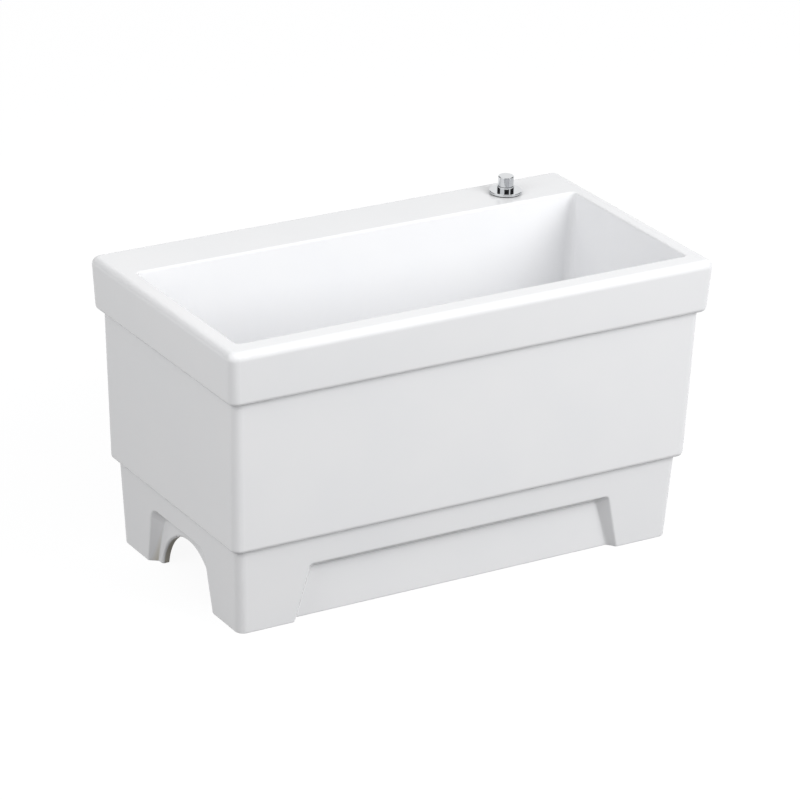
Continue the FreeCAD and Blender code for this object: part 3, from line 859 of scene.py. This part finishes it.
@dataclass
class Lamp:
    """A soft panel lamp that faces the sink's middle."""

    name: str
    place: Vector
    size: tuple[float, float]
    watts: float

    def build(self) -> None:
        """Hang the lamp; glaze and chrome mirror the set and not the lamp, so that neither clips to white."""
        light = bpy.data.lights.new(self.name, "AREA")
        light.shape = "RECTANGLE"
        light.size, light.size_y = self.size
        light.energy = self.watts
        lamp = bpy.data.objects.new(self.name, light)
        lamp.location = self.place
        lamp.rotation_euler = (self.place - SINK_MIDDLE).to_track_quat("Z", "Y").to_euler()
        lamp.visible_glossy = False
        bpy.context.scene.collection.objects.link(lamp)
        log.info("%s: %.1f W", self.name, self.watts)


@dataclass
class Studio:
    """White floor and soft light, with dark cards that give the chrome something to mirror."""

    floor_half: float = 40.0
    floor_colour: str = "#5F5F60"
    floor_lift: float = 0.92
    ambient: float = 0.53
    panel_roughness: float = 0.95
    card_size: tuple[float, float] = (2.4, 1.3)
    card_places: tuple[Vector, ...] = (
        Vector((-0.9, -3.6, 1.0)),
        Vector((3.5, -1.1, 1.4)),
        Vector((-2.0, 3.1, 1.4)),
    )
    card_colour: str = "#4A4A4C"
    lamps: tuple[Lamp, ...] = (
        Lamp("key_panel", Vector((1.45, -2.55, 1.95)), (2.2, 2.2), 78.0),
        Lamp("fill_panel", Vector((-2.3, -0.55, 1.5)), (1.6, 1.6), 21.5),
    )

    def build(self) -> None:
        """Set up the floor, the cards, the lamps and the surrounding light."""
        self.floor()
        for place in self.card_places:
            self.card(place)
        for lamp in self.lamps:
            lamp.build()
        self.surroundings()

    def seen_by_eye_or_mirror(self, tree: bpy.types.NodeTree) -> bpy.types.NodeSocket:
        """Give 1 for rays from the camera and from shiny or clear surfaces.

        Args:
            tree: Node tree that takes the nodes.

        Returns:
            Socket with the mask.
        """
        path = add_node(tree, "ShaderNodeLightPath")
        shiny = add_node(
            tree,
            "ShaderNodeMath",
            {0: path.outputs["Is Glossy Ray"], 1: path.outputs["Is Transmission Ray"]},
            operation="MAXIMUM",
        ).outputs["Value"]
        return add_node(
            tree, "ShaderNodeMath", {0: path.outputs["Is Camera Ray"], 1: shiny}, operation="MAXIMUM"
        ).outputs["Value"]

    def panel(self, name: str, half: tuple[float, float], colour: str) -> bpy.types.Object:
        """Make a flat panel of the set.

        Args:
            name: Its name.
            half: Half its width and half its height.
            colour: Its colour.

        Returns:
            The panel, lying level at the origin.
        """
        shape = bmesh.new()
        bmesh.ops.create_grid(shape, x_segments=1, y_segments=1, size=1.0)
        bmesh.ops.scale(shape, vec=(half[0], half[1], 1.0), verts=shape.verts)
        mesh = bpy.data.meshes.new(name)
        shape.to_mesh(mesh)
        shape.free()
        panel = bpy.data.objects.new(name, mesh)
        bpy.context.scene.collection.objects.link(panel)
        material = bpy.data.materials.new(name)
        material.use_nodes = True
        shader = material.node_tree.nodes["Principled BSDF"]
        shader.inputs["Base Color"].default_value = linear(colour)
        shader.inputs["Roughness"].default_value = self.panel_roughness
        shader.inputs["Specular IOR Level"].default_value = 0.0
        mesh.materials.append(material)
        return panel

    def floor(self) -> None:
        """Lay the floor, a little lifted towards white for the eye and for mirrors."""
        floor = self.panel("studio_floor", (self.floor_half, self.floor_half), self.floor_colour)
        tree = floor.data.materials[0].node_tree
        shader = tree.nodes["Principled BSDF"]
        seen = self.seen_by_eye_or_mirror(tree)
        lift = add_node(tree, "ShaderNodeMath", {0: seen, 1: self.floor_lift}, operation="MULTIPLY")
        shader.inputs["Emission Color"].default_value = (1.0, 1.0, 1.0, 1.0)
        tree.links.new(lift.outputs["Value"], shader.inputs["Emission Strength"])

    def card(self, place: Vector) -> None:
        """Stand a dark card that only shiny surfaces see.

        Args:
            place: Its middle.
        """
        card = self.panel("dark_card", self.card_size, self.card_colour)
        facing = (SINK_MIDDLE - place).to_track_quat("Z", "Y")
        card.data.transform(Matrix.Translation(place) @ facing.to_matrix().to_4x4())
        card.visible_camera = False
        card.visible_diffuse = False
        card.visible_shadow = False

    def surroundings(self) -> None:
        """Light everything softly from all round, and show as white."""
        world = bpy.data.worlds.new("studio_surroundings")
        world.use_nodes = True
        tree = world.node_tree
        strength = add_node(
            tree,
            "ShaderNodeMapRange",
            {"Value": self.seen_by_eye_or_mirror(tree), "To Min": self.ambient, "To Max": 1.0},
        )
        background = tree.nodes["Background"]
        background.inputs["Color"].default_value = (1.0, 1.0, 1.0, 1.0)
        tree.links.new(strength.outputs["Result"], background.inputs["Strength"])
        bpy.context.scene.world = world


@dataclass
class PhotoCamera:
    """Camera fitted to the photograph's edges."""

    image_px: float = 800.0
    focal_px: float = 4127.13
    sensor_mm: float = 36.0
    azimuth_deg: float = -31.114
    elevation_deg: float = 23.012
    roll_deg: float = 1.504
    aim: Vector = field(default_factory=lambda: Vector((0.0, 0.0, 0.194)))
    distance: float = 5.2179
    sideways: float = 0.0003
    upwards: float = -0.0019
    far_clip: float = 200.0

    def build(self) -> bpy.types.Object:
        """Place the camera and make it the scene's.

        Returns:
            The camera.
        """
        azimuth, elevation, roll = (
            math.radians(angle) for angle in (self.azimuth_deg, self.elevation_deg, self.roll_deg)
        )
        back = Vector(
            (
                math.sin(azimuth) * math.cos(elevation),
                -math.cos(azimuth) * math.cos(elevation),
                math.sin(elevation),
            )
        )
        level = Vector((math.cos(azimuth), math.sin(azimuth), 0.0))
        upright = back.cross(level)
        right = level * math.cos(roll) + upright * math.sin(roll)
        up = upright * math.cos(roll) - level * math.sin(roll)
        lens = bpy.data.cameras.new("photo_camera")
        lens.sensor_width = self.sensor_mm
        lens.lens = self.focal_px * self.sensor_mm / self.image_px
        lens.clip_end = self.far_clip
        camera = bpy.data.objects.new("photo_camera", lens)
        camera.rotation_euler = Matrix((right, up, back)).transposed().to_euler()
        camera.location = self.aim + back * self.distance + right * self.sideways + up * self.upwards
        bpy.context.scene.collection.objects.link(camera)
        bpy.context.scene.camera = camera
        return camera


def main() -> None:
    """Dress the CAD frame, light it and set up the camera."""
    logging.basicConfig(level=logging.INFO, format="%(name)s: %(message)s")
    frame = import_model()
    for sub_assembly in (Tub, DeckFitting, LiftLinkage, Waste, Pivot, Stopper):
        sub_assembly(frame).build()
    Studio().build()
    PhotoCamera().build()
    bpy.context.scene.view_settings.view_transform = "Standard"


if __name__ == "__main__":
    main()
